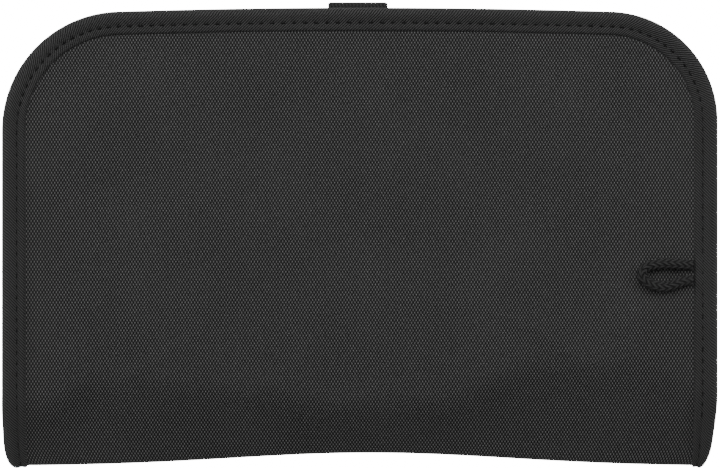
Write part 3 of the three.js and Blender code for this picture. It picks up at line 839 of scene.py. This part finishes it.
def webbing(name, turning_points, corner):
    """A flat band along straight runs joined by an arc, given in (y, z), with rounded long edges.

    The section is a rectangle whose corners are cut by small arcs, carried along the middle line."""
    (start, elbow, stop) = (np.array(p) for p in turning_points)
    before = (start - elbow) / np.linalg.norm(start - elbow)
    after = (stop - elbow) / np.linalg.norm(stop - elbow)
    t = np.linspace(0, 1, 12)[:, None]
    arc = elbow + corner * ((1 - t) ** 2 * before + t ** 2 * after)
    line = evenly(np.pad(np.vstack([start, arc, stop]), ((0, 0), (0, 1))), 120)[:, :2]
    way = np.gradient(line, axis=0)
    way /= np.linalg.norm(way, axis=1)[:, None]
    side = np.stack([-way[:, 1], way[:, 0]], 1)
    half, width = webbing_thickness / 2, strap_right - strap_left
    u = np.concatenate([np.linspace(0, 1, 25), np.linspace(1, 0, 25)])
    edge_round = np.minimum(np.minimum(u, 1 - u) * width / strap_edge, 1)
    thick = half * np.sqrt(np.clip(1 - (1 - edge_round) ** 2, 0.2, 1))
    thick *= np.where(np.arange(50) < 25, 1, -1)
    x = strap_left + u * width
    spread = line[:, None] + side[:, None] * thick[None, :, None]
    rings = np.concatenate([np.broadcast_to(x, spread.shape[:2])[..., None], spread], 2)
    run = np.linspace(0, np.linalg.norm(np.diff(line, axis=0), axis=1).sum(), len(line))[:, None]
    u_place = np.append(u, 0)[None] * width + 0 * run
    band = tube(name, rings, np.stack([u_place, run + 0 * u_place], -1))
    band.data.materials.append(webbing_black)
    return band


middle_y = (riser[0].y + riser[1].y) / 2
sewn_z, tail_z = (sewn[0].z + sewn[1].z) / 2, (tail_box[0].z + tail_box[1].z) / 2
half_way = (sewn_z + tail_z) / 2
strap_upper = webbing("strap_upper", [(sewn[0].y, sewn_z), (middle_y, sewn_z), (middle_y, half_way)],
                      bend_radius)
strap_lower = webbing("strap_lower", [(middle_y, half_way), (middle_y, tail_z), (tail_box[0].y, tail_z)],
                      bend_radius)
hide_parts("strap_sewn_end")
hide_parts("strap_riser", "strap_tail")
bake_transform(strap_upper)
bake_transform(strap_lower)


def seam_line(name, corners, normal, pitch=0.0030, length=0.0024, radius=0.00022, closed=False):
    """Stitches along straight runs between corners, lying on a face with that normal."""
    corners = np.array(corners, float)
    if closed:
        corners = np.vstack([corners, corners[:1]])
    centres, ways = [], []
    for a, b in zip(corners[:-1], corners[1:]):
        reach = np.linalg.norm(b - a)
        count = max(int(round(reach / pitch)), 1)
        t = (np.arange(count) + 0.5)[:, None] / count
        centres.append(a + (b - a) * t)
        ways.append(np.tile((b - a) / reach, (count, 1)))
    centres = np.vstack(centres) + np.array(normal) * radius * 0.3
    seam = stitches(name, centres, np.vstack(ways), np.full(len(centres), length), radius)
    seam.data.materials.append(thread_black)
    return seam


box_seam = [(strap_left + 0.002, sewn[0].y + 0.002), (strap_right - 0.002, sewn[0].y + 0.002),
            (strap_right - 0.002, sewn[1].y - 0.005), (strap_left + 0.002, sewn[1].y - 0.005)]
cross = [box_seam[0], box_seam[2], box_seam[3], box_seam[1], box_seam[0], box_seam[3], box_seam[2],
         box_seam[1]]
strap_seam = seam_line("strap_stitching", [(x, y, sewn[0].z) for x, y in cross], (0, 0, -1))
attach(strap_seam, "back_panel")

# ---- Hook and loop patches -----------------------------------------------------------------
# The strap's end carries a patch of moulded hooks; the front cover carries a wider patch of soft loops.
# Each is a woven tape, sewn round its edge.
patch_black = finish("hook and loop", 0.008, 0.035, [], roughness=0.95, sheen=0.4, bump=0.0004,
                     fine=0.6, broad=0.2)
hook_pitch, hook_height, patch_base = 0.0015, 0.00045, 0.00035


def slab(name, low, high, columns=24, rows=24, edge=0.00015, lift=None):
    """A thin rectangular sheet with softened edges, between two corners; lift shapes its upper face."""
    x, y = np.meshgrid(np.linspace(low[0], high[0], columns), np.linspace(low[1], high[1], rows)[::-1])
    rim = np.minimum.reduce([x - low[0], high[0] - x, y - low[1], high[1] - y])
    soft = edge * (1 - smooth(rim / (3 * edge)))
    upper = np.stack([x, y, high[2] - soft], -1)
    lower = np.stack([x, y, low[2] + soft], -1)
    if lift is not None:
        upper[..., 2] += lift(x, y)
    return two_faced(name, upper, lower, np.stack([x, y], -1))


hooks_box, loops_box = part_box("hook_patch"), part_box("loop_patch")
hook_base = slab("hook_patch_tape", hooks_box[0], (*hooks_box[1].xy, hooks_box[0].z + patch_base))
x, y = np.meshgrid(np.arange(hooks_box[0].x + 0.0012, hooks_box[1].x - 0.001, hook_pitch),
                   np.arange(hooks_box[0].y + 0.0012, hooks_box[1].y - 0.001, hook_pitch))
roots = np.stack([x.ravel(), y.ravel(), np.full(x.size, hooks_box[0].z + patch_base)], 1)
upright = np.tile([[0, 0, 1.0]], (len(roots), 1))
hook_rods = stitches("hook_patch_hooks", roots + upright * hook_height / 2, upright + [[0.35, 0, 0]],
                     np.full(len(roots), hook_height), 0.00014)
tuft = np.random.default_rng(7)
pile_depth = 0.00025


def piled(x, y):
    """Loops of uneven height: each point sinks by a random share of the pile's depth."""
    return -pile_depth * tuft.random(x.shape)


loop_tape = slab("loop_patch_pile", loops_box[0], loops_box[1], 96, 200, lift=piled)
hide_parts("hook_patch")
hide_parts("loop_patch")
for piece, body in ((hook_base, "strap_tail"), (hook_rods, "strap_tail"), (loop_tape, "front_panel")):
    piece.data.materials.append(patch_black)
    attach(piece, body)
loops_seam = seam_line("loop_patch_stitching", [
    (x, y, loops_box[0].z) for x, y in ((loops_box[0].x + 0.0012, loops_box[0].y + 0.0012),
                                        (loops_box[1].x - 0.0012, loops_box[0].y + 0.0012),
                                        (loops_box[1].x - 0.0012, loops_box[1].y - 0.0012),
                                        (loops_box[0].x + 0.0012, loops_box[1].y - 0.0012))],
    (0, 0, -1), closed=True)
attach(loops_seam, "front_panel")

# ---- Zipped pouch inside the front ---------------------------------------------------------
# Two plies of lining with a zip between them. Each ply's edge at the zip is turned under and sewn.
hem_width, hem_rise = 0.006, 0.00022


def ply(name, node, inset, hem_at, body, up=1, columns=160, rows=70):
    """A pocket ply inside the cover's outline, with a raised hem along one edge and its seam.

    Its columns run from the node's lower edge to its upper one, or to the outline where that is
    nearer. up is 1 where the ply's free face looks up, and -1 where it looks down."""
    low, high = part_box(node)
    x = np.linspace(low.x, high.x, columns)
    top = np.minimum(high.y, top_of(x, inset))
    t = np.linspace(1, 0, rows)[:, None]
    y = low.y + (top - low.y) * t
    x = np.broadcast_to(x, y.shape)
    edge_y = high.y if hem_at == "top" else low.y
    from_edge = np.abs(y - edge_y)
    rounded_lip = 1 - 0.5 * smooth((0.0006 - from_edge) / 0.0006)
    rise = hem_rise * smooth((hem_width - from_edge) / 0.0007) * rounded_lip
    ripple = 0.00006 * np.sin(x / 0.009 + 2 * y / 0.03) * smooth(from_edge / 0.02)
    free, held_face = (high.z, low.z) if up > 0 else (low.z, high.z)
    shown = np.stack([x, y, free + up * (rise + ripple)], -1)
    hidden = np.stack([x, y, np.full_like(y, held_face)], -1)
    upper, lower = (shown, hidden) if up > 0 else (hidden, shown)
    sheet = two_faced(name, upper, lower, np.stack([x, y], -1))
    sheet.data.materials.append(lining_grey)
    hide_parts(node)
    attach(sheet, body)
    inner = 0.75 * hem_width
    seam_y_at = edge_y - inner if hem_at == "top" else edge_y + inner
    seam_z = free + up * hem_rise
    seam = seam_line(f"{name}_stitching", [(low.x + 0.002, seam_y_at, seam_z),
                                           (high.x - 0.002, seam_y_at, seam_z)], (0, 0, up))
    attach(seam, body)
    return sheet


ply_inset = half_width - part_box("zip_pouch_panel")[1].x
ply("zip_pouch_front", "zip_pouch_panel", ply_inset, "top", "front_panel")
ply("zip_pouch_strip", "zip_pouch_header", ply_inset, "bottom", "front_panel", rows=16)

# Zip: two herringbone tapes, each with a coil of nylon monofilament sewn along its edge.
zip_black = finish("zip tape", 0.010, 0.040, [(ribs, {"Pitch": 0.0009, "Slant": 1.0}),
                                              (ribs, {"Pitch": 0.0009, "Slant": -1.0})],
                   roughness=0.75, bump=0.00005, fine=0.2)
coil_black = finish("nylon coil", 0.008, 0.020, [], roughness=0.32, sheen=0.0, bump=0.00001,
                    specular=0.5, Coat_Weight=0.2)
coil_pitch, filament = 0.00125, 0.00026


def coil(name, node, way):
    """A helix of filament: round an oval whose axis runs along the zip, one turn to each tooth.

    way is 1 or -1, the side on which the teeth stand out, where the oval is drawn to a head."""
    low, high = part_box(node)
    turns = int((high.x - low.x - filament * 2) / coil_pitch)
    steps = turns * 14
    t = np.linspace(0, turns * 2 * np.pi, steps)
    half_y, half_z = (high.y - low.y) / 2 - filament, (high.z - low.z) / 2 - filament
    head = 1 + 0.12 * way * np.cos(t)
    line = np.stack([low.x + filament + t / (2 * np.pi) * coil_pitch,
                     (low.y + high.y) / 2 + half_y * np.cos(t),
                     (low.z + high.z) / 2 + half_z * np.sin(t) * head], 1)
    ahead = np.gradient(line, axis=0)
    ahead /= np.linalg.norm(ahead, axis=1)[:, None]
    first = np.cross(ahead, [[1.0, 0, 0]])
    first /= np.linalg.norm(first, axis=1)[:, None]
    second = np.cross(ahead, first)
    turn = np.linspace(0, 2 * np.pi, 6, endpoint=False)[None, :, None]
    rings = line[:, None] + filament * (first[:, None] * np.cos(turn) + second[:, None] * np.sin(turn))
    place = np.stack(np.meshgrid(np.linspace(0, 0.0016, 7), t * 0.0005), -1)
    piece = tube(name, rings, place)
    piece.data.materials.append(coil_black)
    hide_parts(node)
    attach(piece, "front_panel")


for which, way in (("lower", 1), ("upper", -1)):
    low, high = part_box(f"zip_tape_{which}")
    tape = slab(f"zip_tape_{which}_woven", low, high, 140, 16)
    tape.data.materials.append(zip_black)
    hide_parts(f"zip_tape_{which}")
    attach(tape, "front_panel")
    coil(f"zip_teeth_{which}", f"zip_coil_{which}", way)

# Slider, pull and end stops: die-cast zinc with a dark plating, its tone a little uneven.
gun_metal = finish("dark plating", 0.05, 0.12, [], roughness=0.35, sheen=0.0, bump=0.00001, broad=0.2,
                   specular=0.5, Metallic=1.0)


def rounded(name, low, high, corner, parts=10):
    """A box between two corners as one closed skin, its edges and corners rounded by `corner`.

    Points of a sphere, pushed out along each axis to the box's flat faces."""
    turn, lift = np.meshgrid(np.linspace(0, 2 * np.pi, 4 * parts, endpoint=False),
                             np.linspace(-np.pi / 2, np.pi / 2, 2 * parts)[1:-1])
    ball = np.stack([np.cos(lift) * np.cos(turn), np.cos(lift) * np.sin(turn), np.sin(lift)], -1)
    low, high = np.array(low, float), np.array(high, float)
    half = (high - low) / 2
    reach = half - min(corner, *half)
    push = np.clip(ball * 4, -1, 1)
    rings = (low + high) / 2 + push * reach + ball * (half - reach)
    place = np.stack(np.meshgrid(np.linspace(0, 1, 4 * parts + 1), np.linspace(0, 1, 2 * parts - 2)), -1)
    return tube(name, rings, place * 0.01)


def merged(name, pieces):
    """Several pieces as one object of separate closed bodies."""
    for other in bpy.context.view_layer.objects:
        other.select_set(False)
    for piece in pieces:
        piece.select_set(True)
    bpy.context.view_layer.objects.active = pieces[0]
    bpy.ops.object.join()
    pieces[0].name = name
    return pieces[0]


low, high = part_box("zip_slider")
plate = 0.0007
mid_x, mid_y = (low.x + high.x) / 2, (low.y + high.y) / 2
plate_top = high.z - 0.00195
bridge_half, bridge_post = 0.0034, 0.0008
slider = merged("zip_slider_cast", [
    rounded("plate_low", low, (high.x, high.y, low.z + plate), 0.0004),
    rounded("plate_top", (low.x, low.y, plate_top - plate), (high.x, high.y, plate_top), 0.0004),
    rounded("wedge", (mid_x, mid_y - 0.0003, low.z + plate / 2),
            (high.x - 0.0008, mid_y + 0.0003, plate_top - plate / 2), 0.0002),
    rounded("post_back", (mid_x - bridge_half, mid_y - 0.0008, plate_top - plate / 2),
            (mid_x - bridge_half + bridge_post, mid_y + 0.0008, high.z), 0.0003),
    rounded("post_front", (mid_x + bridge_half - bridge_post, mid_y - 0.0008, plate_top - plate / 2),
            (mid_x + bridge_half, mid_y + 0.0008, high.z), 0.0003),
    rounded("bridge", (mid_x - bridge_half, mid_y - 0.0008, high.z - 0.0006),
            (mid_x + bridge_half, mid_y + 0.0008, high.z), 0.00029)])

low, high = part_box("zip_pull")
wide, long, thick = high.y - low.y, high.x - low.x, high.z - low.z
hole_from, hole_to, hole_half = high.x - 0.0042, high.x - 0.0006, 0.0013
angle_round = np.linspace(0, 2 * np.pi, 48, endpoint=False)


def oval(middle_x, half_long, half_wide, power):
    """A closed outline between a rectangle and an oval, after Lame: higher powers are squarer."""
    c, s = np.cos(angle_round), np.sin(angle_round)
    return np.stack([middle_x + half_long * np.sign(c) * np.abs(c) ** (2 / power),
                     (low.y + high.y) / 2 + half_wide * np.sign(s) * np.abs(s) ** (2 / power)], 1)


outer_rim = oval((low.x + high.x) / 2, long / 2, wide / 2, 5)
inner_rim = oval((hole_from + hole_to) / 2, (hole_to - hole_from) / 2, hole_half, 4)
soft = 0.00015
profile = [(0, -1, 0), (0, 1, 0), (soft, 1, 1), (1 - soft, 1, 1), (1, 1, 0), (1, -1, 0), (1 - soft, -1, 1),
           (soft, -1, 1)]
loops = []
for share, face, full in profile:
    flat_share = np.clip(share, 0, 1)
    ring_plan = outer_rim * (1 - flat_share) + inner_rim * flat_share
    level = (low.z + high.z) / 2 + face * (thick / 2 - (0 if full else 2 * soft))
    loops.append(np.column_stack([ring_plan, np.full(len(ring_plan), level)]))
loops = np.array(loops + loops[:1])
rows, columns = len(loops) - 1, loops.shape[1]
quads = grid_faces(rows + 1, columns, ring=True) % (rows * columns)
place = loops[:-1, :, :2].reshape(-1, 2)[quads].reshape(-1, 2)
pull = mesh_piece("zip_pull_tab", loops[:-1], quads, place)
stops = [rounded(f"zip_stop_{side}_crimped", *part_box(f"zip_stop_{side}"), 0.0004)
         for side in ("left", "right")]
for piece, nodes, body in ((slider, ["zip_slider"], "zip_slider"), (pull, ["zip_pull"], "zip_pull"),
                           (stops[0], ["zip_stop_left"], "front_panel"),
                           (stops[1], ["zip_stop_right"], "front_panel")):
    piece.data.materials.clear()
    piece.data.materials.append(gun_metal)
    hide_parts(*nodes)
    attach(piece, body)

# ---- Card window ---------------------------------------------------------------------------
# Clear flexible film on the pouch, sewn down under narrow tape on three sides, open at its top hem.
film = finish("clear film", 0.55, 0.65, [], roughness=0.12, sheen=0.0, bump=0.00003, broad=0.1, fine=0.05,
              specular=0.5, Transmission_Weight=0.9, IOR=1.4)
low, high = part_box("card_window_film")


def rippled(x, y):
    """The film's faint waves: the product of a sine each way."""
    return 0.00005 * np.sin(x / 0.011) * np.sin(y / 0.013)


window = slab("card_window_clear", low, high, 60, 40, lift=rippled)
window.data.materials.append(film)
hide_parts("card_window_film")
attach(window, "front_panel")
hem_low, hem_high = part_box("card_window_hem")
hem = slab("card_window_binding", hem_low, hem_high, 80, 10)
sides = merged("card_window_edges", [
    slab("left", (low.x - 0.001, low.y, hem_low.z), (low.x + 0.003, hem_low.y, hem_high.z), 8, 60),
    slab("right", (high.x - 0.003, low.y, hem_low.z), (high.x + 0.001, hem_low.y, hem_high.z), 8, 60),
    slab("foot", (low.x + 0.003, low.y, hem_low.z), (high.x - 0.003, low.y + 0.004, hem_high.z), 80, 8)])
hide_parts("card_window_hem")
window_seam = seam_line("card_window_stitching", [
    (low.x + 0.001, hem_low.y, hem_high.z), (low.x + 0.001, low.y + 0.002, hem_high.z),
    (high.x - 0.001, low.y + 0.002, hem_high.z), (high.x - 0.001, hem_low.y, hem_high.z)], (0, 0, 1))
hem_seam = seam_line("card_window_hem_stitching", [
    (low.x + 0.001, hem_low.y + 0.001, hem_high.z),
    (high.x - 0.001, hem_low.y + 0.001, hem_high.z)], (0, 0, 1))
for piece in (hem, sides):
    piece.data.materials.clear()
    piece.data.materials.append(tape_black)
for piece in (hem, sides, window_seam, hem_seam):
    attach(piece, "front_panel")

# ---- Pockets inside the back ---------------------------------------------------------------
# A ticket pocket across the back, three stepped card slots, and a passport pocket with soft side folds.
ply("ticket_pocket_ply", "ticket_pocket", ply_inset, "top", "back_panel", up=-1)
for i in (1, 2, 3):
    ply(f"card_slot_ply_{i}", f"card_slot_{i}", ply_inset, "top", "back_panel", up=-1, columns=50)
low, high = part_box("passport_pocket")
x, y = np.meshgrid(np.linspace(low.x, high.x, 120), np.linspace(high.y, low.y, 80))
side_share = np.minimum(x - low.x, high.x - x) / 0.007
foot_share = (y - low.y) / 0.009
belly = np.clip(np.minimum(smooth(side_share), 1) * smooth(foot_share + 0.05), 0, 1)
pleat = 0.0006 * np.sin(np.pi * np.clip(side_share, 0, 1) * 3) * (side_share < 1)
level = high.z - 0.0004 - (high.z - low.z - 0.0010) * belly + pleat
hem_here = hem_rise * smooth((hem_width - (high.y - y)) / 0.0007)
outer = np.stack([x, y, level], -1)
inner = np.stack([x, y, level - lining_thickness - hem_here], -1)
passport = two_faced("passport_pocket_ply", outer, inner, np.stack([x, y], -1))
passport.data.materials.append(lining_grey)
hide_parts("passport_pocket")
seam_at = np.linspace(low.x + 0.009, high.x - 0.009, 2)
passport_seam = seam_line("passport_pocket_stitching",
                          [(x0, high.y - 0.75 * hem_width, low.z - hem_rise + 0.0002) for x0 in seam_at],
                          (0, 0, -1))
for piece in (passport, passport_seam):
    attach(piece, "back_panel")

# ---- Pen loop ------------------------------------------------------------------------------
# A ring of ribbed elastic sewn to the spine's lining.
elastic_black = finish("elastic", 0.010, 0.045, [(ribs, {"Pitch": 0.0010})], roughness=0.8, sheen=0.15,
                       bump=0.00015, fine=0.2)
low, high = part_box("pen_loop")
ring_y, ring_z = (low.y + high.y) / 2, (low.z + high.z) / 2
ring_out = (high.z - low.z) / 2
elastic_thickness, ring_steps = 0.0008, 64
ring_in = ring_out - elastic_thickness
x = np.linspace(low.x, high.x, 70)
rib = 0.00008 * np.sin(2 * np.pi * x / 0.001)
outward = np.column_stack([x, ring_out - 0.0001 + rib - 0.0002 * (np.abs(x / high.x) > 0.97)])
inward = np.column_stack([x[::-1], np.full(len(x), ring_in)])
shell = np.vstack([outward, inward, outward[:1]])
turn = np.linspace(0, 2 * np.pi, ring_steps, endpoint=False)
loops = np.stack([np.broadcast_to(shell[:, :1], (len(shell), ring_steps)),
                  ring_y + shell[:, 1:] * np.cos(turn), ring_z + shell[:, 1:] * np.sin(turn)], -1)
rows, columns = len(loops) - 1, loops.shape[1]
quads = grid_faces(rows + 1, columns, ring=True) % (rows * columns)
run_place = np.stack([np.broadcast_to(shell[:-1, :1], (rows, columns)),
                      np.broadcast_to(turn * ring_out, (rows, columns))], -1)
pen_loop = mesh_piece("pen_loop_elastic", loops[:-1], quads,
                      run_place.reshape(-1, 2)[quads].reshape(-1, 2))
pen_loop.data.materials.append(elastic_black)
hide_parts("pen_loop")
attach(pen_loop, "spine_lower")
